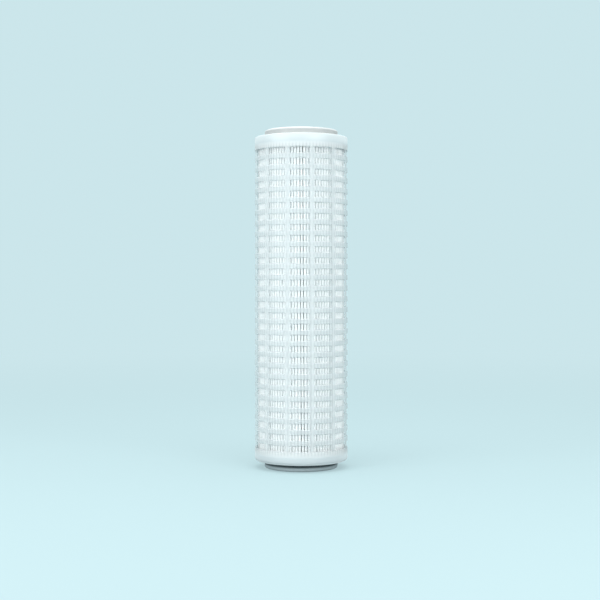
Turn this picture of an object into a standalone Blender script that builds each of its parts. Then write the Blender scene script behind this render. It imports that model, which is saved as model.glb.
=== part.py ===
"""Pleated filter cartridge, open at both ends, with a flat gasket at each end.

A perforated outer cage and a perforated inner core stand between two end caps. The pleated pack
between them is three sheets folded together: a support on each side of the filter medium. Each cap
laps over the cage, carries the core on a spigot, and holds a gasket round a collar in its outer face.
Units are metres, +Z runs along the bore, and the origin is the centre of the lower sealing face.
"""

import math

import bmesh
import bpy

# Overall sizes
OVERALL_LENGTH = 0.254
BODY_DIAMETER = 0.070
BORE_DIAMETER = 0.028
SEAT_GAP = 0.0003

# Gaskets
GASKET_PROUD = 0.0054
GASKET_EDGE_RADIUS = 0.0013

# End caps
CAP_LEDGE_WIDTH = 0.0075
CAP_FACE_THICKNESS = 0.0028
CAP_LAP_LENGTH = 0.0026
TOP_EDGE_RADIUS = 0.0010
BOTTOM_EDGE_RADIUS = 0.0026
GASKET_RECESS_DEPTH = 0.0012
COLLAR_WALL = 0.0017
COLLAR_SETBACK = 0.0024
SPIGOT_HEIGHT = 0.0022

# Outer cage
CAGE_WALL = 0.0020
CAGE_COLUMNS = 12
CAGE_BAR_WIDTH = 0.0043
CAGE_WINDOW_HEIGHT = 0.0040
CAGE_BAND_HEIGHT = 0.00408
CAGE_LEAST_MARGIN = 0.0040

# Inner core
CORE_WALL = 0.0030
CORE_COLUMNS = 6
CORE_BAR_WIDTH = 0.0059
CORE_WINDOW_HEIGHT = 0.0110
CORE_BAND_HEIGHT = 0.0070
CORE_LEAST_MARGIN = 0.0080

# Pleated pack
SUPPORT_THICKNESS = 0.00012
MEDIUM_THICKNESS = 0.00020
SHEET_GAP = 0.00004
CROWN_SLIT = 0.00027
ROOT_SLIT = 0.00010

# Facets
WINDOW_FACETS = 2
BAR_FACETS = 1
EDGE_STEPS = 4
FRONT_ANGLE = -math.pi / 2
SHARP_ANGLE = math.radians(30)
MERGE_DISTANCE = 1e-7

# Radii and heights that follow from the sizes above
BODY_RADIUS = BODY_DIAMETER / 2
BORE_RADIUS = BORE_DIAMETER / 2
CAGE_INNER_RADIUS = BODY_RADIUS - CAGE_WALL
CAGE_LAP_RADIUS = CAGE_INNER_RADIUS + (CAGE_WALL - SEAT_GAP) / 2
SKIRT_INNER_RADIUS = CAGE_LAP_RADIUS + SEAT_GAP
CORE_RADIUS = BORE_RADIUS + CORE_WALL
SPIGOT_RADIUS = BORE_RADIUS + (CORE_WALL - SEAT_GAP) / 2
COLLAR_RADIUS = BORE_RADIUS + COLLAR_WALL
GASKET_RADIUS = BODY_RADIUS - CAP_LEDGE_WIDTH
STACK_THICKNESS = 2 * SUPPORT_THICKNESS + MEDIUM_THICKNESS + 2 * SHEET_GAP
SEAT_HEIGHT = GASKET_PROUD + CAP_FACE_THICKNESS + SEAT_GAP
SHOULDER_HEIGHT = SEAT_HEIGHT + CAP_LAP_LENGTH


def clear_scene():
    for obj in list(bpy.data.objects):
        bpy.data.objects.remove(obj)


def make_material(name, colour, roughness):
    """A plain Principled material; nothing in this object is metal."""
    material = bpy.data.materials.new(name)
    material.use_nodes = True
    shader = material.node_tree.nodes["Principled BSDF"]
    shader.inputs["Base Color"].default_value = (*colour, 1.0)
    shader.inputs["Roughness"].default_value = roughness
    shader.inputs["Metallic"].default_value = 0.0
    return material


def make_object(name, mesh, material, parent, height=0.0, turned_over=False):
    """Places a mesh on the axis at a height, turned over about X for the upper end."""
    obj = bpy.data.objects.new(name, mesh)
    obj.data.materials.clear()
    obj.data.materials.append(material)
    obj.location = (0.0, 0.0, height)
    obj.rotation_euler = (math.pi if turned_over else 0.0, 0.0, 0.0)
    obj.parent = parent
    bpy.context.scene.collection.objects.link(obj)
    return obj


def column_angles(columns, radius, bar_width):
    """The facet corners round a tube whose columns of windows face the front, window first."""
    pitch = 2 * math.pi / columns
    bar = bar_width / radius
    window = pitch - bar
    steps = [window / WINDOW_FACETS] * WINDOW_FACETS + [bar / BAR_FACETS] * BAR_FACETS
    angles = []
    for column in range(columns):
        angle = FRONT_ANGLE + column * pitch - window / 2
        for step in steps:
            angles.append(angle)
            angle += step
    return angles


CAGE_ANGLES = column_angles(CAGE_COLUMNS, BODY_RADIUS, CAGE_BAR_WIDTH)
CORE_ANGLES = column_angles(CORE_COLUMNS, CORE_RADIUS, CORE_BAR_WIDTH)


def flat_share(angles):
    """How far in the middle of the widest facet lies, as a share of the corner radius."""
    turns = [(after - before) % (2 * math.pi) for before, after in zip(angles, angles[1:] + angles[:1])]
    return math.cos(max(turns) / 2)


def ring(bm, angles, radius, height):
    return [bm.verts.new((radius * math.cos(a), radius * math.sin(a), height)) for a in angles]


def skin(bm, lower, upper, keep=lambda index: True):
    """Faces between two rings with as many corners, leaving out those that keep refuses."""
    count = len(lower)
    for index in range(count):
        if keep(index):
            after = (index + 1) % count
            bm.faces.new((lower[index], lower[after], upper[after], upper[index]))


def finish_mesh(name, bm):
    """Merges doubled points, turns the faces outwards and shades the round sides smooth."""
    bmesh.ops.remove_doubles(bm, verts=bm.verts[:], dist=MERGE_DISTANCE)
    bmesh.ops.recalc_face_normals(bm, faces=bm.faces[:])
    mesh = bpy.data.meshes.new(name)
    bm.to_mesh(mesh)
    bm.free()
    mesh.shade_smooth()
    mesh.set_sharp_from_angle(angle=SHARP_ANGLE)
    return mesh


def closed_skin(name, outlines):
    """One closed body from outlines that follow each other round its section."""
    bm = bmesh.new()
    rings = [[bm.verts.new(point) for point in outline] for outline in outlines]
    for lower, upper in zip(rings, rings[1:] + rings[:1]):
        skin(bm, lower, upper)
    return finish_mesh(name, bm)


def turned(name, profile):
    """A closed section of (radius, height) points turned round the axis."""
    outlines = [
        [(radius * math.cos(a), radius * math.sin(a), height) for a in CAGE_ANGLES]
        for radius, height in profile
    ]
    return closed_skin(name, outlines)


def rounded_corner(centre_radius, centre_height, edge_radius, start):
    """Points of a quarter circle that turns forwards from the start angle."""
    angles = [start + math.pi / 2 * step / EDGE_STEPS for step in range(EDGE_STEPS + 1)]
    return [
        (centre_radius + edge_radius * math.cos(a), centre_height + edge_radius * math.sin(a))
        for a in angles
    ]


def window_levels(low, high, height, band, margin):
    """The (low, high) heights of a column of windows between two ends, as many as fit, centred."""
    pitch = height + band
    count = int((high - low - 2 * margin - height) / pitch) + 1
    first = (low + high - (count - 1) * pitch - height) / 2
    return [(first + row * pitch, first + row * pitch + height) for row in range(count)]


def perforated_tube(name, angles, stations, windows):
    """A tube with windows, from (height, outer radius, inner radius) stations along it.

    The outer wall is skinned first, without its windows, and then thickened inwards.
    """
    bm = bmesh.new()
    inner_radius = bm.verts.layers.float.new("inner_radius")
    rings = []
    for height, outer, inner in stations:
        corners = ring(bm, angles, outer, height)
        for corner in corners:
            corner[inner_radius] = inner
        rings.append(corners)
    lows = {low for low, _ in windows}
    repeat = WINDOW_FACETS + BAR_FACETS
    for lower, upper, (height, _, _) in zip(rings, rings[1:], stations):
        open_facets = WINDOW_FACETS if height in lows else 0
        skin(bm, lower, upper, lambda index: index % repeat >= open_facets)
    made = bmesh.ops.extrude_face_region(bm, geom=bm.faces[:])["geom"]
    for corner in (item for item in made if isinstance(item, bmesh.types.BMVert)):
        share = corner[inner_radius] / math.hypot(corner.co.x, corner.co.y)
        corner.co.x *= share
        corner.co.y *= share
    return finish_mesh(name, bm)


def cage_mesh():
    """The outer cage, thinned at both ends where the cap skirts lap over it."""
    low, high = SEAT_HEIGHT, OVERALL_LENGTH - SEAT_HEIGHT
    low_shoulder, high_shoulder = SHOULDER_HEIGHT, OVERALL_LENGTH - SHOULDER_HEIGHT
    windows = window_levels(
        low_shoulder, high_shoulder, CAGE_WINDOW_HEIGHT, CAGE_BAND_HEIGHT, CAGE_LEAST_MARGIN
    )
    heights = [height for window in windows for height in window]
    outline = [(low, CAGE_LAP_RADIUS), (low_shoulder, CAGE_LAP_RADIUS), (low_shoulder, BODY_RADIUS)]
    outline += [(height, BODY_RADIUS) for height in heights]
    outline += [(high_shoulder, BODY_RADIUS), (high_shoulder, CAGE_LAP_RADIUS), (high, CAGE_LAP_RADIUS)]
    stations = [(height, radius, CAGE_INNER_RADIUS) for height, radius in outline]
    return perforated_tube("outer_cage", CAGE_ANGLES, stations, windows)


def core_mesh():
    """The inner core, bored out at both ends where the cap spigots enter it."""
    low, high = SEAT_HEIGHT, OVERALL_LENGTH - SEAT_HEIGHT
    socket = (SPIGOT_RADIUS + SEAT_GAP) / flat_share(CORE_ANGLES)
    depth = SPIGOT_HEIGHT + SEAT_GAP
    windows = window_levels(
        low + depth, high - depth, CORE_WINDOW_HEIGHT, CORE_BAND_HEIGHT, CORE_LEAST_MARGIN
    )
    heights = [height for window in windows for height in window]
    outline = [(low, socket), (low + depth, socket), (low + depth, BORE_RADIUS)]
    outline += [(height, BORE_RADIUS) for height in heights]
    outline += [(high - depth, BORE_RADIUS), (high - depth, socket), (high, socket)]
    stations = [(height, CORE_RADIUS, radius) for height, radius in outline]
    return perforated_tube("inner_core", CORE_ANGLES, stations, windows)


def cap_mesh(edge):
    """An end cap with its outer face at height 0, the cartridge above it and its outer edge rounded."""
    collar_end = COLLAR_SETBACK - GASKET_PROUD
    skirt_end = CAP_FACE_THICKNESS + CAP_LAP_LENGTH
    spigot_end = CAP_FACE_THICKNESS + SPIGOT_HEIGHT
    recess = GASKET_RADIUS + SEAT_GAP
    profile = [
        (BORE_RADIUS, collar_end),
        (COLLAR_RADIUS, collar_end),
        (COLLAR_RADIUS, GASKET_RECESS_DEPTH),
        (recess, GASKET_RECESS_DEPTH),
        (recess, 0.0),
        *rounded_corner(BODY_RADIUS - edge, edge, edge, -math.pi / 2),
        (BODY_RADIUS, skirt_end),
        (SKIRT_INNER_RADIUS, skirt_end),
        (SKIRT_INNER_RADIUS, CAP_FACE_THICKNESS),
        (SPIGOT_RADIUS, CAP_FACE_THICKNESS),
        (SPIGOT_RADIUS, spigot_end),
        (BORE_RADIUS, spigot_end),
    ]
    return turned("end_cap", profile)


def gasket_mesh():
    """A flat ring gasket with its sealing face at height 0."""
    thickness = GASKET_PROUD + GASKET_RECESS_DEPTH - SEAT_GAP
    inner = COLLAR_RADIUS + SEAT_GAP
    edge = GASKET_EDGE_RADIUS
    profile = [
        (inner, 0.0),
        *rounded_corner(GASKET_RADIUS - edge, edge, edge, -math.pi / 2),
        (GASKET_RADIUS, thickness),
        (inner, thickness),
    ]
    return turned("gasket", profile)


PLEAT_OUTER_RADIUS = CAGE_INNER_RADIUS * flat_share(CAGE_ANGLES) - SEAT_GAP
PLEAT_INNER_RADIUS = CORE_RADIUS + SEAT_GAP
PLEAT_COUNT = int(math.pi * PLEAT_INNER_RADIUS / (STACK_THICKNESS + ROOT_SLIT))


def pleat_outline(depth, height):
    """The folded line that lies a depth inside the pack's outer surface.

    Each fold has a flat crown at the cage and a flat root at the core, and a slit parts it from the next.
    """
    crown_radius = PLEAT_OUTER_RADIUS - depth
    root_radius = PLEAT_INNER_RADIUS + STACK_THICKNESS - depth
    half_pitch = math.pi / PLEAT_COUNT
    crown_turn = half_pitch - (CROWN_SLIT / 2 + depth) / crown_radius
    root_turn = (ROOT_SLIT / 2 + depth) / root_radius
    points = []
    for pleat in range(PLEAT_COUNT):
        crown = FRONT_ANGLE + 2 * half_pitch * pleat
        root = crown + half_pitch
        for radius, angle in (
            (crown_radius, crown - crown_turn),
            (crown_radius, crown + crown_turn),
            (root_radius, root - root_turn),
            (root_radius, root + root_turn),
        ):
            points.append((radius * math.cos(angle), radius * math.sin(angle), height))
    return points


def sheet_mesh(name, depth, thickness):
    """One pleated sheet of the pack, between the two caps."""
    low, high = SEAT_HEIGHT, OVERALL_LENGTH - SEAT_HEIGHT
    inside = depth + thickness
    return closed_skin(
        name,
        [
            pleat_outline(depth, low),
            pleat_outline(depth, high),
            pleat_outline(inside, high),
            pleat_outline(inside, low),
        ],
    )


def build():
    clear_scene()
    cage_plastic = make_material("cage_plastic", (0.86, 0.89, 0.90), 0.42)
    cap_plastic = make_material("cap_plastic", (0.90, 0.92, 0.92), 0.38)
    core_plastic = make_material("core_plastic", (0.86, 0.88, 0.88), 0.45)
    support_fabric = make_material("support_fabric", (0.91, 0.92, 0.92), 0.85)
    filter_fabric = make_material("filter_fabric", (0.93, 0.94, 0.93), 0.90)
    upper_rubber = make_material("upper_gasket_rubber", (0.62, 0.64, 0.64), 0.55)
    lower_rubber = make_material("lower_gasket_rubber", (0.16, 0.18, 0.19), 0.55)

    cartridge = bpy.data.objects.new("cartridge", None)
    bpy.context.scene.collection.objects.link(cartridge)
    top = OVERALL_LENGTH

    make_object("outer_cage", cage_mesh(), cage_plastic, cartridge)
    make_object("inner_core", core_mesh(), core_plastic, cartridge)

    bottom_cap = cap_mesh(BOTTOM_EDGE_RADIUS)
    top_cap = cap_mesh(TOP_EDGE_RADIUS)
    make_object("bottom_end_cap", bottom_cap, cap_plastic, cartridge, GASKET_PROUD)
    make_object("top_end_cap", top_cap, cap_plastic, cartridge, top - GASKET_PROUD, turned_over=True)

    gasket = gasket_mesh()
    make_object("bottom_gasket", gasket, lower_rubber, cartridge)
    make_object("top_gasket", gasket.copy(), upper_rubber, cartridge, top, turned_over=True)

    medium_depth = SUPPORT_THICKNESS + SHEET_GAP
    inner_depth = medium_depth + MEDIUM_THICKNESS + SHEET_GAP
    for name, depth, thickness, fabric in (
        ("upstream_support", 0.0, SUPPORT_THICKNESS, support_fabric),
        ("filter_medium", medium_depth, MEDIUM_THICKNESS, filter_fabric),
        ("downstream_support", inner_depth, SUPPORT_THICKNESS, support_fabric),
    ):
        make_object(name, sheet_mesh(name, depth, thickness), fabric, cartridge)


build()
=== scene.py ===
import math
import random

import bmesh
import bpy
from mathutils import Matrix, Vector


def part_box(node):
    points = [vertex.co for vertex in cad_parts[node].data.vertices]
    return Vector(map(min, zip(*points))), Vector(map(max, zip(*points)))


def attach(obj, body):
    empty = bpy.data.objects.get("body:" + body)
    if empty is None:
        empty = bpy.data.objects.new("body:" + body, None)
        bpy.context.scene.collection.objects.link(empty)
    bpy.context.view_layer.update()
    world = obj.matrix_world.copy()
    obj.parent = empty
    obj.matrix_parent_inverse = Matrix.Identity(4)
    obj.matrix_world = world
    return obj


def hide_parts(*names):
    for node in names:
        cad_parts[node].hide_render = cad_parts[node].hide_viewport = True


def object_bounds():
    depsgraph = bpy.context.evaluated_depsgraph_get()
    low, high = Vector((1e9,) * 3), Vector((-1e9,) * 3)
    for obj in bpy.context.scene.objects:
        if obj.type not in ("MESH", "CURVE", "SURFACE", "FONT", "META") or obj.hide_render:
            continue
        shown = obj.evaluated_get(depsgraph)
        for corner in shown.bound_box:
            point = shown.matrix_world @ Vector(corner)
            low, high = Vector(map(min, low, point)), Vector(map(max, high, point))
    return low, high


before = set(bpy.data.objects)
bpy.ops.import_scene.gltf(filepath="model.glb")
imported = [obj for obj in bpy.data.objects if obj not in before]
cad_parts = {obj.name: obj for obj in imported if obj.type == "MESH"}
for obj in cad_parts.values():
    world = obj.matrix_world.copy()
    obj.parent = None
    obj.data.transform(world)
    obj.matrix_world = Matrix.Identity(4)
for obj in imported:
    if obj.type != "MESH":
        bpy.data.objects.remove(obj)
cad_low, cad_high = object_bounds()


# Inner core: the perforated tube that the pleats are gathered round, whose inside is the bore.
# It is moulded in natural polypropylene, with tall windows between six bars.
# Both ends are bored out, and each sits on the spigot of an end cap and is welded there.
core_low, core_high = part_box("inner_core")
core_radius = -core_low.y
core_wall = 0.0030
core_socket = 0.0025
core_columns = 6
core_facets = 12
core_open_facets = 8
core_rows = 12
core_window = 0.0110
core_band = 0.0070
core_edge = 0.0003
core_pale = (0.88, 0.90, 0.90, 1.0)
core_dim = (0.82, 0.85, 0.86, 1.0)
core_satin = 0.40
plastic_ior = 1.49
front = -math.pi / 2
nearby = 0.00002
sharp_fold = math.radians(50)
smooth_fold = math.radians(20)
soft_steps = 2


def pick_faces(wanted):
    """Selects the faces of the mesh in edit mode that the test on centre and normal accepts."""
    mesh = bpy.context.object.data
    bpy.ops.mesh.select_mode(type="FACE")
    bpy.ops.mesh.select_all(action="DESELECT")
    shape = bmesh.from_edit_mesh(mesh)
    for face in shape.faces:
        face.select_set(wanted(face.calc_center_median(), face.normal))
    bmesh.update_edit_mesh(mesh)


def pick_edges(wanted):
    """Selects the edges in edit mode that the test on both ends and the fold between faces accepts."""
    mesh = bpy.context.object.data
    bpy.ops.mesh.select_mode(type="EDGE")
    bpy.ops.mesh.select_all(action="DESELECT")
    shape = bmesh.from_edit_mesh(mesh)
    for edge in shape.edges:
        edge.select_set(wanted(edge.verts[0].co, edge.verts[1].co, edge.calc_face_angle(0.0)))
    bmesh.update_edit_mesh(mesh)


def off_axis(point):
    return math.hypot(point.x, point.y)


def push_out(rise):
    """Extrudes what is selected along the bore."""
    bpy.ops.mesh.extrude_region_move(TRANSFORM_OT_translate={"value": (0.0, 0.0, rise)})


def windowed_tube(name, radius, wall, low, high, columns, facets, open_facets, rows, window, band):
    """A round wall raised level by level, with its windows cut out and thickened inwards."""
    pitch = window + band
    first = (low + high - (rows - 1) * pitch - window) / 2
    levels = [low]
    for row in range(rows):
        levels += [first + row * pitch, first + row * pitch + window]
    levels.append(high)
    column_turn = 2 * math.pi / columns
    half_open = column_turn * open_facets / facets / 2

    bpy.ops.object.select_all(action="DESELECT")
    bpy.ops.mesh.primitive_circle_add(vertices=columns * facets, radius=radius, location=(0.0, 0.0, low))
    tube = bpy.context.object
    tube.name = name
    bpy.ops.object.transform_apply(location=True, rotation=False, scale=False)
    bpy.ops.object.mode_set(mode="EDIT")
    bpy.ops.mesh.select_mode(type="VERT")
    bpy.ops.mesh.select_all(action="SELECT")
    for lower, upper in zip(levels, levels[1:]):
        push_out(upper - lower)

    def in_window(centre, facing):
        turn = math.atan2(centre.y, centre.x) - front
        aside = (turn + column_turn / 2) % column_turn - column_turn / 2
        row, above = divmod(centre.z - first, pitch)
        return abs(aside) < half_open and 0 <= row < rows and above < window

    pick_faces(in_window)
    bpy.ops.mesh.delete(type="FACE")
    bpy.ops.mesh.select_all(action="SELECT")
    bpy.ops.mesh.normals_make_consistent(inside=False)
    bpy.ops.object.mode_set(mode="OBJECT")
    thickness = tube.modifiers.new("thickness", "SOLIDIFY")
    thickness.thickness = wall
    thickness.offset = -1.0
    bpy.ops.object.modifier_apply(modifier="thickness")
    return tube


def lap_end(end, mid_wall, rise, outer_half):
    """Splits the end face of the active tube down its middle and raises one half into a lap."""
    bpy.ops.object.mode_set(mode="EDIT")
    pick_edges(
        lambda a, b, fold: abs(a.z - end) < nearby
        and abs(b.z - end) < nearby
        and abs(off_axis(a) - off_axis(b)) > nearby
    )
    bpy.ops.mesh.subdivide(number_cuts=1)
    pick_faces(
        lambda centre, facing: abs(centre.z - end) < nearby
        and (off_axis(centre) > mid_wall) == outer_half
    )
    push_out(rise)
    bpy.ops.object.mode_set(mode="OBJECT")


def soften(piece, width, wanted=lambda a, b: True):
    """Breaks the sharp edges of a moulding that the test accepts, and shades its round sides smooth."""
    bpy.ops.object.select_all(action="DESELECT")
    piece.select_set(True)
    bpy.context.view_layer.objects.active = piece
    bpy.ops.object.mode_set(mode="EDIT")
    pick_edges(lambda a, b, fold: fold > sharp_fold and wanted(a, b))
    bpy.ops.mesh.bevel(offset=width, segments=soft_steps, profile=0.5, affect="EDGES", clamp_overlap=True)
    bpy.ops.object.mode_set(mode="OBJECT")
    bpy.ops.object.shade_smooth_by_angle(angle=smooth_fold)


class Wire:
    """One output of a material's nodes, which takes part in sums as a number does."""

    def __init__(self, tree, socket):
        self.tree = tree
        self.socket = socket

    def node(self, kind, settings, inputs, output=0):
        """Adds a node, sets it, feeds its inputs with numbers or wires and returns one output."""
        made = self.tree.nodes.new(kind)
        for name, value in settings.items():
            setattr(made, name, value)
        for name, value in inputs.items():
            if isinstance(value, Wire):
                self.tree.links.new(value.socket, made.inputs[name])
            else:
                made.inputs[name].default_value = value
        return Wire(self.tree, made.outputs[output])

    def maths(self, operation, first, second=0.0):
        return self.node("ShaderNodeMath", {"operation": operation}, {0: first, 1: second})

    def __add__(self, other):
        return self.maths("ADD", self, other)

    def __sub__(self, other):
        return self.maths("SUBTRACT", self, other)

    def __rsub__(self, other):
        return self.maths("SUBTRACT", other, self)

    def __mul__(self, other):
        return self.maths("MULTIPLY", self, other)

    __radd__ = __add__
    __rmul__ = __mul__

    def clamp(self, low, high):
        """This value spread so that low becomes 0 and high becomes 1, and cut off there."""
        return self.node("ShaderNodeMapRange", {}, {"Value": self, "From Min": low, "From Max": high})

    def tint(self, at_none, at_full):
        """A colour between two, by this value."""
        factor, first_colour, second_colour, blend = 0, 6, 7, 2
        inputs = {factor: self, first_colour: at_none, second_colour: at_full}
        return self.node("ShaderNodeMix", {"data_type": "RGBA"}, inputs, blend)

    def noise(self, scale, detail, roughness=0.5, kind="FBM"):
        """Noise at this place, as a value."""
        inputs = {"Vector": self, "Scale": scale, "Detail": detail, "Roughness": roughness}
        return self.node("ShaderNodeTexNoise", {"noise_type": kind}, inputs)

    def bump(self, strength, distance):
        """A normal from this height."""
        inputs = {"Height": self, "Strength": strength, "Distance": distance}
        return self.node("ShaderNodeBump", {}, inputs)

    def along(self, axis):
        """One coordinate of this place."""
        return self.node("ShaderNodeSeparateXYZ", {}, {0: self}, axis)

    def reach(self):
        """How far this place is from the bore's axis."""
        flattened = {0: self, 1: (1.0, 1.0, 0.0)}
        level = self.node("ShaderNodeVectorMath", {"operation": "MULTIPLY"}, flattened)
        return self.node("ShaderNodeVectorMath", {"operation": "LENGTH"}, {0: level}, "Value")

    def into(self, shader, name):
        self.tree.links.new(self.socket, shader.inputs[name])


def new_finish(name):
    """A material with its shader, and the place on the piece that its patterns read."""
    material = bpy.data.materials.new(name)
    material.use_nodes = True
    tree = material.node_tree
    shader = tree.nodes["Principled BSDF"]
    place = Wire(tree, tree.nodes.new("ShaderNodeTexCoord").outputs["Object"])
    return material, shader, place


def moulded_plastic(name, pale, dim, satin):
    """Natural polypropylene: a milky satin moulding with faint flow clouds and a fine skin."""
    cloud_satin, grain_satin = 0.06, 0.05
    material, shader, place = new_finish(name)
    cloud = place.noise(scale=55.0, detail=3.0).clamp(low=0.30, high=0.70)
    grain = place.noise(scale=2600.0, detail=2.0)
    colour = cloud.tint(pale, dim)
    colour.into(shader, "Base Color")
    (satin + cloud * cloud_satin + grain * grain_satin).into(shader, "Roughness")
    grain.bump(strength=0.12, distance=0.00006).into(shader, "Normal")
    shader.inputs["IOR"].default_value = plastic_ior
    return material, shader, place, colour


core = windowed_tube(
    "core_tube", core_radius, core_wall, core_low.z + core_socket, core_high.z - core_socket,
    core_columns, core_facets, core_open_facets, core_rows, core_window, core_band,
)
core_mid_wall = core_radius - core_wall / 2
lap_end(core_low.z + core_socket, core_mid_wall, -core_socket, True)
lap_end(core_high.z - core_socket, core_mid_wall, core_socket, True)
soften(core, core_edge)
core.data.materials.append(moulded_plastic("core_plastic", core_pale, core_dim, core_satin)[0])
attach(core, "root")
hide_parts("inner_core")


# Downstream support: the innermost sheet of the pleated pack, next to the core.
# It is thin spunbonded polypropylene, white and matt, with small bond points in rows.
# It is folded together with the two sheets outside it, and its ends are sealed into the caps.
pack_low, pack_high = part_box("upstream_support")
pack_radius = -pack_low.y
pack_to_core = 0.0003
sheet_gap = 0.00004
support_thickness = 0.00012
medium_thickness = 0.00020
stack_thickness = 2 * support_thickness + medium_thickness + 2 * sheet_gap
middle = (cad_low.z + cad_high.z) / 2
pleats = 87
first_crown = front - math.radians(1.0)
lean_per_metre = -math.radians(10.0)
crown_slit = 0.00040
parted_pleat = 1
parted_by = 0.00014
crown_round = math.pi * pack_radius / pleats - crown_slit / 2
root_round = 0.00005
crown_steps = 6
root_steps = 4
sheet_levels = 24
most_shift = 0.00005
most_sink = 0.00022
most_sway = 0.00003
sway_length = 0.016
support_pale = (0.89, 0.915, 0.915, 1.0)
support_dim = (0.855, 0.88, 0.885, 1.0)
support_bonds = 950.0
flank_painted_shade = (0.10, 0.125, 0.13, 1.0)
flank_from, flank_to = 0.0028, 0.0046
fold_seed = 11
chance = random.Random(fold_seed)
folds = [
    (
        chance.uniform(-most_shift, most_shift),
        chance.uniform(0.0, most_sink),
        chance.uniform(-most_sway, most_sway),
        chance.uniform(0.0, 2 * math.pi),
    )
    for pleat in range(pleats)
]


def half_round(bearing, centre, size, side, steps):
    """Points of a fold: a half round about a centre on a bearing, bulging out (1) or in (-1)."""
    out = Vector((math.cos(bearing), math.sin(bearing)))
    across = Vector((-out.y, out.x))
    points = []
    for step in range(steps + 1):
        turn = math.pi * (step / steps - 0.5)
        points.append(out * (centre + side * size * math.cos(turn)) + across * size * math.sin(turn))
    return points


def pleat_line(depth, height):
    """The folded line, a depth inside the pack, which leans with height and has one narrower crown."""
    root_centre = core_radius + pack_to_core + stack_thickness + root_round
    half_pitch = math.pi / pleats
    line = []
    for pleat, (shift, sink, sway, phase) in enumerate(folds):
        bearing = first_crown + lean_per_metre * (height - middle) + 2 * half_pitch * pleat
        aside = shift + sway * math.sin(phase + height / sway_length)
        size = crown_round - parted_by * (pleat == parted_pleat)
        crown_centre = pack_radius - sink - size
        line += half_round(bearing + aside / pack_radius, crown_centre, size - depth, 1, crown_steps)
        line += half_round(bearing + half_pitch, root_centre, root_round + depth, -1, root_steps)
    return line


def pleated_sheet(name, depth, thickness):
    """One sheet of the pack, folded as the others are, with its own flat measure as its UV map."""
    tall = pack_high.z - pack_low.z
    heights = [pack_low.z + tall * level / sheet_levels for level in range(sheet_levels + 1)]
    lines = [pleat_line(depth + thickness / 2, height) for height in heights]
    count = len(lines[0])
    points = [(point.x, point.y, height) for line, height in zip(lines, heights) for point in line]
    run = [0.0]
    for here, after in zip(lines[0], lines[0][1:] + lines[0][:1]):
        run.append(run[-1] + (after - here).length)
    faces = []
    cloth = []
    for level in range(sheet_levels):
        for index in range(count):
            after = (index + 1) % count
            low, high = level * count, (level + 1) * count
            faces.append((low + index, low + after, high + after, high + index))
            for along, height in ((0, level), (1, level), (1, level + 1), (0, level + 1)):
                cloth += [run[index + along], heights[height]]
    mesh = bpy.data.meshes.new(name)
    mesh.from_pydata(points, [], faces)
    mesh.uv_layers.new(name="cloth").data.foreach_set("uv", cloth)
    sheet = bpy.data.objects.new(name, mesh)
    bpy.context.scene.collection.objects.link(sheet)
    bpy.ops.object.select_all(action="DESELECT")
    sheet.select_set(True)
    bpy.context.view_layer.objects.active = sheet
    body = sheet.modifiers.new("body", "SOLIDIFY")
    body.thickness = thickness
    body.offset = 0.0
    body.use_even_offset = True
    bpy.ops.object.modifier_apply(modifier="body")
    bpy.ops.object.shade_smooth()
    return sheet, (run[-1], heights[-1] - heights[0])


def bonded_fabric(name, pale, dim, bonds_per_metre):
    """Nonwoven cloth: a cloud of fine fibres, pressed at small bond points, with painted shade down its
    folds.
    """
    cloud_share, fibre_share, bond_share = 0.45, 0.35, 0.20
    matt, bond_gloss, cloth_specular = 0.92, 0.20, 0.25
    fibre_height = 0.6
    material, shader, place = new_finish(name)
    cloth = place.node("ShaderNodeUVMap", {"uv_map": "cloth"}, {})
    cloud = cloth.noise(scale=420.0, detail=3.0).clamp(low=0.30, high=0.70)
    fibre = cloth.noise(scale=2400.0, detail=4.0, roughness=0.6, kind="RIDGED_MULTIFRACTAL")
    fibre = fibre.clamp(low=0.2, high=1.6)
    rows = {"Vector": cloth, "Scale": bonds_per_metre, "Randomness": 0.15}
    bond = cloth.node("ShaderNodeTexVoronoi", {}, rows)
    pressed = 1 - bond.clamp(low=0.22, high=0.34)
    face = (cloud * cloud_share + (1 - fibre) * fibre_share + pressed * bond_share).tint(pale, dim)
    # Painted shade: the cloth turns dark deep in the folds, away from the crowns and the roots, so that
    # the slits look dark.
    crown = place.reach().clamp(pack_radius - flank_to, pack_radius - flank_from)
    root = place.reach().clamp(core_radius + flank_to, core_radius + flank_from)
    crown.maths("MAXIMUM", crown, root).tint(flank_painted_shade, face).into(shader, "Base Color")
    (matt - pressed * bond_gloss).into(shader, "Roughness")
    (fibre * fibre_height - pressed).bump(strength=0.35, distance=0.00004).into(shader, "Normal")
    shader.inputs["Specular IOR Level"].default_value = cloth_specular
    return material


support_fabric = bonded_fabric("support_fabric", support_pale, support_dim, support_bonds)
medium_depth = support_thickness + sheet_gap
inner_depth = medium_depth + medium_thickness + sheet_gap
inner_support, inner_flat = pleated_sheet("pleated_inner_support", inner_depth, support_thickness)
inner_support.data.materials.append(support_fabric)
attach(inner_support, "root")
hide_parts("downstream_support")


# Filter medium: the middle sheet of the pack, which does the filtering.
# It is melt-blown polypropylene, softer and whiter than its supports, with a plain felted face.
# It lies between the two supports in every fold and shows only at their edges.
medium_pale = (0.95, 0.95, 0.94, 1.0)
medium_dim = (0.87, 0.88, 0.87, 1.0)
medium_bonds = 400.0
medium, medium_flat = pleated_sheet("pleated_medium", medium_depth, medium_thickness)
medium.data.materials.append(bonded_fabric("filter_fabric", medium_pale, medium_dim, medium_bonds))
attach(medium, "root")
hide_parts("filter_medium")


# Upstream support: the outermost sheet of the pack, whose crowns show in the windows of the cage.
# It is the same spunbonded cloth as the innermost sheet.
# Its crowns lie just inside the cage, and its ends are sealed into the caps.
outer_support, outer_flat = pleated_sheet("pleated_outer_support", 0.0, support_thickness)
outer_support.data.materials.append(support_fabric)
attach(outer_support, "root")
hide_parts("upstream_support")
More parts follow.
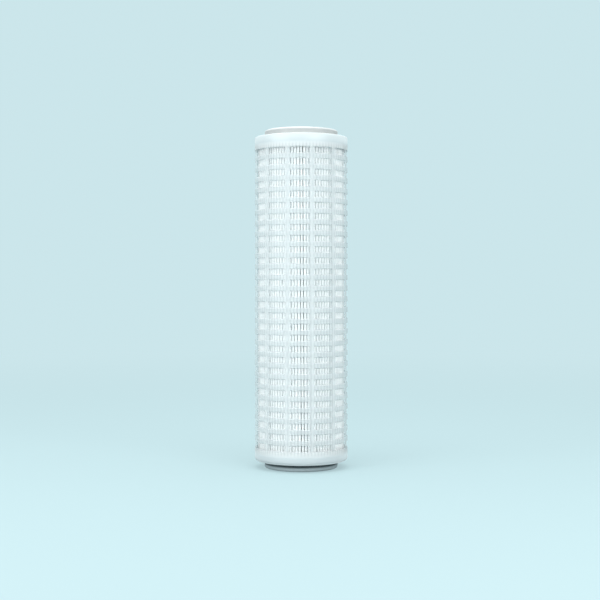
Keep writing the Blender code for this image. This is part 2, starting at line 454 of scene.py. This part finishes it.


# Outer cage: the tube that guards the pleats, with 28 rows of windows in 12 columns.
# It is moulded in milky natural polypropylene that lets light and the stripes of the pleats through,
# helped by painted stripes of slit shade.
# Its thinned ends go inside the skirts of the two caps and are welded there.
cage_low, cage_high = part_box("outer_cage")
cage_radius = -cage_low.y
cage_wall = 0.0020
cage_lap = 0.0026
cage_columns = 12
cage_facets = 13
cage_open_facets = 10
cage_rows = 28
cage_window = 0.0040
cage_band = 0.00408
cage_edge = 0.0006
cage_pale = (0.85, 0.90, 0.915, 1.0)
cage_dim = (0.83, 0.88, 0.895, 1.0)
cage_end_band_light = (0.96, 0.99, 0.995, 1.0)
cage_slit_shade = (0.62, 0.67, 0.69, 1.0)
cage_end_colour = (0.70, 0.755, 0.772, 1.0)
cage_satin = 0.37
cage_specular = 0.2
milky_outside = 0.42
milky_inside = 0.10
milky_end = 0.66
skin_from, skin_to = 0.0006, 0.0001
end_band = 0.0050
end_band_edge = 0.0016
end_band_calm = 0.6
end_fade = 0.0030
shoulder_reach = cage_high.z - cage_lap - middle


def clear_of_caps(a, b):
    """Whether an edge is well inside the cage, away from the shoulders that the caps close on."""
    return max(abs(a.z - middle), abs(b.z - middle)) < shoulder_reach - nearby


cage = windowed_tube(
    "cage_tube", cage_radius, cage_wall, cage_low.z + cage_lap, cage_high.z - cage_lap,
    cage_columns, cage_facets, cage_open_facets, cage_rows, cage_window, cage_band,
)
cage_mid_wall = cage_radius - cage_wall / 2
lap_end(cage_low.z + cage_lap, cage_mid_wall, -cage_lap, False)
lap_end(cage_high.z - cage_lap, cage_mid_wall, cage_lap, False)
soften(cage, cage_edge, clear_of_caps)
cage_plastic, cage_shader, cage_place, cage_colour = moulded_plastic(
    "cage_plastic", cage_pale, cage_dim, cage_satin
)
cage_shader.inputs["Specular IOR Level"].default_value = cage_specular
cage_depth = cage_place.reach().clamp(cage_radius - skin_from, cage_radius - skin_to)
cage_rise = cage_place.along("Z") - middle
off_middle = cage_rise.maths("ABSOLUTE", cage_rise)
band_start = shoulder_reach - end_band
on_end_band = off_middle.clamp(band_start, band_start + end_band_edge)
cage_end = off_middle.clamp(shoulder_reach - end_fade, shoulder_reach)
milky = milky_outside + on_end_band * (milky_end - milky_outside)
milky = milky + cage_end * (1 - milky)
(milky_inside + cage_depth * (milky - milky_inside)).into(cage_shader, "Alpha")
# Painted shade: the dark slits between the pleats behind the wall are painted on the cage as stripes,
# fading out at the caps and calmer on the end bands.
cage_bearing = cage_rise.maths("ARCTAN2", cage_place.along("Y"), cage_place.along("X"))
from_crown = cage_bearing - first_crown - lean_per_metre * cage_rise
painted_slit_shade = 0.5 - 0.5 * cage_rise.maths("COSINE", from_crown * pleats)
painted_slit_shade = painted_slit_shade * painted_slit_shade * (1 - cage_end * cage_end) * (1 - end_band_calm * on_end_band)
# Painted light: the end bands next to the caps are painted whiter, making up for the shade that the caps
# throw on the pleats behind them.
cage_colour = on_end_band.tint(cage_colour, cage_end_band_light)
cage_colour = painted_slit_shade.tint(cage_colour, cage_slit_shade)
cage_end.tint(cage_colour, cage_end_colour).into(cage_shader, "Base Color")
cage.data.materials.append(cage_plastic)
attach(cage, "root")
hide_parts("outer_cage")


# End caps: two mouldings in milky polypropylene, each a disc with a skirt round its edge.
# The skirt is welded flush to the cage, so no seam shows, and a spigot inside carries the core.
# A recess round a short collar in its outer face holds the gasket. The lower edge is well rounded.
cap_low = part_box("bottom_end_cap")[0]
cap_radius = -cap_low.y
cap_face = 0.0054
cap_thickness = 0.0028
cap_ledge = 0.0075
cap_recess_gap = 0.0002
cap_recess_depth = 0.0012
cap_skirt = 0.00085
cap_weld = 0.00003
cap_collar_wall = 0.0017
cap_bore = core_radius - core_wall
cap_spigot_wall = 0.00135
cap_spigot = 0.0022
lower_cap_edge = 0.0026
upper_cap_edge = 0.0010
cap_edge_steps = 8
cap_edge = 0.0002
cap_facets = cage_columns * cage_facets
end_facing = 0.9
cap_satin = 0.33
cap_diffuse_roughness = 1.0
cap_pale = (0.69, 0.75, 0.77, 1.0)
cap_dim = (0.67, 0.73, 0.75, 1.0)
cap_painted_light = (0.79, 0.83, 0.84, 1.0)
cap_painted_shade = (0.55, 0.60, 0.62, 1.0)
cap_foot_painted_light = (0.95, 0.96, 0.96, 1.0)
fade_start = -0.0005
light_fade = 0.0030
shade_fade = 0.0065
foot_start, foot_fade = 0.0016, 0.0001


def inset_by(width):
    bpy.ops.mesh.inset(thickness=width)


def round_edge(wanted, size, steps):
    """Rounds the edges that the test accepts, on the mesh in edit mode."""
    pick_edges(wanted)
    bpy.ops.mesh.bevel(offset=size, segments=steps, profile=0.5, affect="EDGES")


def close_bore():
    """Joins the two open rims of the mesh in edit mode with one wall."""
    bpy.ops.mesh.select_mode(type="EDGE")
    bpy.ops.mesh.select_all(action="DESELECT")
    bpy.ops.mesh.select_non_manifold()
    bpy.ops.mesh.bridge_edge_loops()


def turn_over(piece, name):
    """A copy of a lower piece, with its own mesh, turned over to the upper end."""
    bpy.ops.object.select_all(action="DESELECT")
    piece.select_set(True)
    bpy.context.view_layer.objects.active = piece
    bpy.ops.object.duplicate()
    upper = bpy.context.object
    upper.name = name
    bpy.ops.transform.rotate(value=math.pi, orient_axis="X", center_override=(0.0, 0.0, middle))
    bpy.ops.object.transform_apply(location=True, rotation=True, scale=True)
    return upper


def beyond_weld(a, b):
    """Whether an edge is outside the weld between the skirt of a cap and the cage."""
    return min(abs(a.z - middle), abs(b.z - middle)) > shoulder_reach + 2 * cap_weld


cap_inner = cap_face + cap_thickness
cap_recess = cap_radius - cap_ledge + cap_recess_gap
cap_collar = cap_bore + cap_collar_wall
bpy.ops.object.select_all(action="DESELECT")
bpy.ops.mesh.primitive_cylinder_add(
    vertices=cap_facets, radius=cap_radius, depth=cap_thickness,
    location=(0.0, 0.0, (cap_face + cap_inner) / 2),
)
lower_cap = bpy.context.object
lower_cap.name = "cap_bottom"
bpy.ops.object.transform_apply(location=True, rotation=False, scale=False)
bpy.ops.object.mode_set(mode="EDIT")
pick_faces(lambda centre, facing: facing.z < -end_facing)
inset_by(cap_radius - cap_recess)
push_out(cap_recess_depth)
inset_by(cap_recess - cap_collar)
push_out(cap_low.z - cap_face - cap_recess_depth)
inset_by(cap_collar_wall)
bpy.ops.mesh.delete(type="FACE")
pick_faces(lambda centre, facing: facing.z > end_facing)
inset_by(cap_skirt)
pick_faces(lambda centre, facing: facing.z > end_facing and off_axis(centre) > cap_radius - cap_skirt)
push_out(cage_low.z + cage_lap - cap_weld - cap_inner)
pick_faces(lambda centre, facing: facing.z > end_facing and off_axis(centre) < cap_bore)
inset_by(cap_radius - cap_skirt - cap_bore - cap_spigot_wall)
push_out(cap_spigot)
inset_by(cap_spigot_wall)
bpy.ops.mesh.delete(type="FACE")
close_bore()
bpy.ops.mesh.select_all(action="SELECT")
bpy.ops.mesh.normals_make_consistent(inside=False)
bpy.ops.object.mode_set(mode="OBJECT")
cap_plastic, cap_shader, cap_place, cap_colour = moulded_plastic(
    "cap_plastic", cap_pale, cap_dim, cap_satin
)
cap_shader.inputs["Diffuse Roughness"].default_value = cap_diffuse_roughness
cap_rise = cap_place.along("Z") - middle
# Painted light: the upper cap turns whiter towards its top end, as if lit from above.
upper_painted_light = cap_rise.clamp(shoulder_reach + fade_start, shoulder_reach + light_fade)
# Painted shade: the lower cap turns greyer towards its lower edge.
lower_painted_shade = cap_rise.clamp(-shoulder_reach - fade_start, -shoulder_reach - shade_fade)
# Painted light: the rounding at the foot of the lower cap is painted pale again, as a glowing edge.
foot_painted_light = cap_rise.clamp(cap_face + foot_start - middle, cap_face + foot_fade - middle)
cap_colour = upper_painted_light.tint(cap_colour, cap_painted_light)
cap_colour = lower_painted_shade.tint(cap_colour, cap_painted_shade)
foot_painted_light.tint(cap_colour, cap_foot_painted_light).into(cap_shader, "Base Color")
lower_cap.data.materials.append(cap_plastic)
upper_cap = turn_over(lower_cap, "cap_top")
for cap, node, face, edge_size in (
    (lower_cap, "bottom_end_cap", cap_face, lower_cap_edge),
    (upper_cap, "top_end_cap", 2 * middle - cap_face, upper_cap_edge),
):
    bpy.ops.object.select_all(action="DESELECT")
    cap.select_set(True)
    bpy.context.view_layer.objects.active = cap
    bpy.ops.object.mode_set(mode="EDIT")
    round_edge(
        lambda a, b, fold: max(abs(a.z - face), abs(b.z - face)) < nearby
        and min(off_axis(a), off_axis(b)) > cap_radius - nearby,
        edge_size,
        cap_edge_steps,
    )
    bpy.ops.object.mode_set(mode="OBJECT")
    soften(cap, cap_edge, beyond_weld)
    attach(cap, "root")
    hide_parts(node)


# Gaskets: two flat moulded rings, pressed into the recesses of the caps and round their collars.
# Both are soft elastomer with a matt skin: the upper one is pale grey, the lower one nearly black, a
# guessed colour darkened as painted shade from the lower cap.
# They stand proud of the caps, and each has a lip, well rounded, round its sealing face, painted paler as
# a highlight.
gasket_low, gasket_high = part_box("bottom_gasket")
gasket_radius = -gasket_low.y
gasket_fit = 0.0002
gasket_hole = cap_collar + gasket_fit
gasket_outer_edge = 0.0013
gasket_outer_steps = 8
gasket_inner_edge = 0.0005
gasket_inner_steps = 4
gasket_edge = 0.0002
gasket_facets = 144
upper_rubber_and_highlight = ((0.47, 0.48, 0.475, 1.0), (0.42, 0.435, 0.435, 1.0), (0.74, 0.76, 0.76, 1.0))
# Painted shade: the lower gasket's wall is darkened nearly to black, standing in for the shade under the
# lower cap; its lip carries the painted highlight.
lower_rubber_shade_and_highlight = ((0.03, 0.045, 0.05, 1.0), (0.02, 0.032, 0.037, 1.0), (0.36, 0.43, 0.455, 1.0))
# Painted highlight: the lips are paler, as where light catches the rounded edge.
upper_lip_highlight = (0.0017, 0.0008)
lower_lip_highlight = (0.0034, 0.0022)


def elastomer(name, colours, lip_reach):
    """Moulded rubber: a fine matt grain with a faint cloudy bloom, and a painted highlight on the lip
    round its face.
    """
    pale, dim, lip = colours
    lip_from, lip_to = lip_reach
    bloom_share, grain_share = 0.7, 0.3
    matt, bloom_matt, grain_matt = 0.50, 0.12, 0.10
    material, shader, place = new_finish(name)
    bloom = place.noise(scale=160.0, detail=3.0).clamp(low=0.30, high=0.72)
    grain = place.noise(scale=5200.0, detail=3.0, roughness=0.6)
    wall = (bloom * bloom_share + grain * grain_share).tint(pale, dim)
    rise = place.along("Z") - middle
    from_middle = rise.maths("ABSOLUTE", rise)
    from_middle.clamp(middle - lip_from, middle - lip_to).tint(wall, lip).into(shader, "Base Color")
    (matt + bloom * bloom_matt + grain * grain_matt).into(shader, "Roughness")
    grain.bump(strength=0.25, distance=0.00005).into(shader, "Normal")
    return material


bpy.ops.object.select_all(action="DESELECT")
bpy.ops.mesh.primitive_cylinder_add(
    vertices=gasket_facets, radius=gasket_radius, depth=gasket_high.z - gasket_low.z,
    location=(0.0, 0.0, (gasket_low.z + gasket_high.z) / 2),
)
lower_gasket = bpy.context.object
lower_gasket.name = "gasket_bottom"
bpy.ops.object.transform_apply(location=True, rotation=False, scale=False)
bpy.ops.object.mode_set(mode="EDIT")
pick_faces(lambda centre, facing: abs(facing.z) > end_facing)
inset_by(gasket_radius - gasket_hole)
bpy.ops.mesh.delete(type="FACE")
close_bore()
round_edge(
    lambda a, b, fold: max(a.z, b.z) < gasket_low.z + nearby
    and min(off_axis(a), off_axis(b)) > gasket_radius - nearby,
    gasket_outer_edge,
    gasket_outer_steps,
)
round_edge(
    lambda a, b, fold: max(a.z, b.z) < gasket_low.z + nearby
    and max(off_axis(a), off_axis(b)) < gasket_hole + nearby,
    gasket_inner_edge,
    gasket_inner_steps,
)
bpy.ops.mesh.select_all(action="SELECT")
bpy.ops.mesh.normals_make_consistent(inside=False)
bpy.ops.object.mode_set(mode="OBJECT")
soften(lower_gasket, gasket_edge)
upper_gasket = turn_over(lower_gasket, "gasket_top")
lower_gasket.data.materials.append(elastomer("lower_gasket_rubber", lower_rubber_shade_and_highlight, lower_lip_highlight))
upper_gasket.data.materials.append(elastomer("upper_gasket_rubber", upper_rubber_and_highlight, upper_lip_highlight))
for gasket, node, rubber in (
    (lower_gasket, "bottom_gasket", "lower_gasket_rubber"),
    (upper_gasket, "top_gasket", "upper_gasket_rubber"),
):
    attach(gasket, "root")
    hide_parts(node)


# Studio: a wide pale floor that fades into a backdrop of the same colour, with soft light.
# A softbox stands on each side in front, a third hangs over the upper end, and the sky fills in.
# The camera is level, a little under a metre away and slightly above the middle of the cartridge.
backdrop_colour = (0.60, 0.79, 0.83, 1.0)
floor_colour = (0.50, 0.66, 0.69, 1.0)
floor_bounce = (0.10, 0.20, 0.22, 1.0)
floor_radius = 6.0
floor_facets = 64
floor_roughness = 0.9
floor_specular = 0.1
floor_glow = 0.55
fade_from, fade_to = 0.1, 1.6
sky_colour = (0.92, 0.99, 1.0, 1.0)
sky_low, sky_high = 0.20, 1.45
centre = Vector((0.0, 0.0, middle))
softboxes = (
    ("left_softbox", Vector((-0.76, -0.615, 0.24)), 0.70, 0.30, 5.0),
    ("right_softbox", Vector((0.60, -0.78, 0.27)), 0.60, 0.30, 4.9),
    ("top_softbox", Vector((-0.05, -0.30, 0.85)), 0.40, 0.40, 1.3),
)
image_size = 600
camera_bearing = math.radians(2.0)
camera_distance = 0.9237
camera_height = 0.1376
camera_lens = 73.3
axis_pixel_x = 301.2
horizon_pixel_y = 284.8


def seen_directly(tree):
    """1 for rays that should see the backdrop's own colour: straight, mirrored or through glass."""
    path = Wire(tree, None).node("ShaderNodeLightPath", {}, {})
    rays = path.socket.node.outputs
    straight = Wire(tree, rays["Is Camera Ray"])
    mirrored = Wire(tree, rays["Is Glossy Ray"])
    passed = Wire(tree, rays["Is Transmission Ray"])
    return straight.maths("MAXIMUM", straight.maths("MAXIMUM", straight, mirrored), passed)


bpy.ops.object.select_all(action="DESELECT")
bpy.ops.mesh.primitive_circle_add(
    vertices=floor_facets, radius=floor_radius, fill_type="NGON", location=(0.0, 0.0, 0.0)
)
floor = bpy.context.object
floor.name = "studio_floor"
floor_paint, floor_shader, floor_place = new_finish("floor_paint")
floor_tree = floor_paint.node_tree
seen_directly(floor_tree).tint(floor_bounce, floor_colour).into(floor_shader, "Base Color")
floor_shader.inputs["Roughness"].default_value = floor_roughness
floor_shader.inputs["Specular IOR Level"].default_value = floor_specular
far = {"Value": floor_place.reach(), "From Min": fade_from, "From Max": fade_to}
faded = floor_place.node("ShaderNodeMapRange", {"interpolation_type": "SMOOTHSTEP"}, far)
faded = (floor_glow + faded * (1 - floor_glow)) * seen_directly(floor_tree)
glow = floor_place.node("ShaderNodeEmission", {}, {"Color": backdrop_colour})
lit = Wire(floor_tree, floor_shader.outputs[0])
surface = lit.node("ShaderNodeMixShader", {}, {0: faded, 1: lit, 2: glow})
surface.into(floor_tree.nodes["Material Output"], "Surface")
floor.data.materials.append(floor_paint)

world = bpy.data.worlds.new("studio_sky")
bpy.context.scene.world = world
world.use_nodes = True
sky_tree = world.node_tree
sky_light = Wire(sky_tree, sky_tree.nodes["Background"].outputs[0])
sky_tree.nodes["Background"].inputs["Color"].default_value = sky_colour
sky_place = Wire(sky_tree, sky_tree.nodes.new("ShaderNodeTexCoord").outputs["Generated"])
overhead = sky_place.along("Z").clamp(low=0.0, high=1.0)
(sky_low + overhead * (sky_high - sky_low)).into(sky_tree.nodes["Background"], "Strength")
sky_seen = sky_light.node("ShaderNodeBackground", {}, {"Color": backdrop_colour, "Strength": 1.0})
sky = sky_light.node("ShaderNodeMixShader", {}, {0: seen_directly(sky_tree), 1: sky_light, 2: sky_seen})
sky.into(sky_tree.nodes["World Output"], "Surface")

for name, place, width, height, power in softboxes:
    lamp = bpy.data.lights.new(name, "AREA")
    lamp.shape = "RECTANGLE"
    lamp.size = width
    lamp.size_y = height
    lamp.energy = power
    softbox = bpy.data.objects.new(name, lamp)
    softbox.location = place
    softbox.rotation_euler = (centre - place).to_track_quat("-Z", "Y").to_euler()
    softbox.visible_camera = False
    bpy.context.scene.collection.objects.link(softbox)

camera_data = bpy.data.cameras.new("studio_camera")
camera_data.lens = camera_lens
camera_data.shift_x = (image_size / 2 - axis_pixel_x) / image_size
camera_data.shift_y = (horizon_pixel_y - image_size / 2) / image_size
camera = bpy.data.objects.new("studio_camera", camera_data)
camera.location = (
    camera_distance * math.sin(camera_bearing),
    -camera_distance * math.cos(camera_bearing),
    camera_height,
)
camera.rotation_euler = (math.pi / 2, 0.0, camera_bearing)
bpy.context.scene.collection.objects.link(camera)
bpy.context.scene.camera = camera
bpy.context.scene.view_settings.view_transform = "Standard"
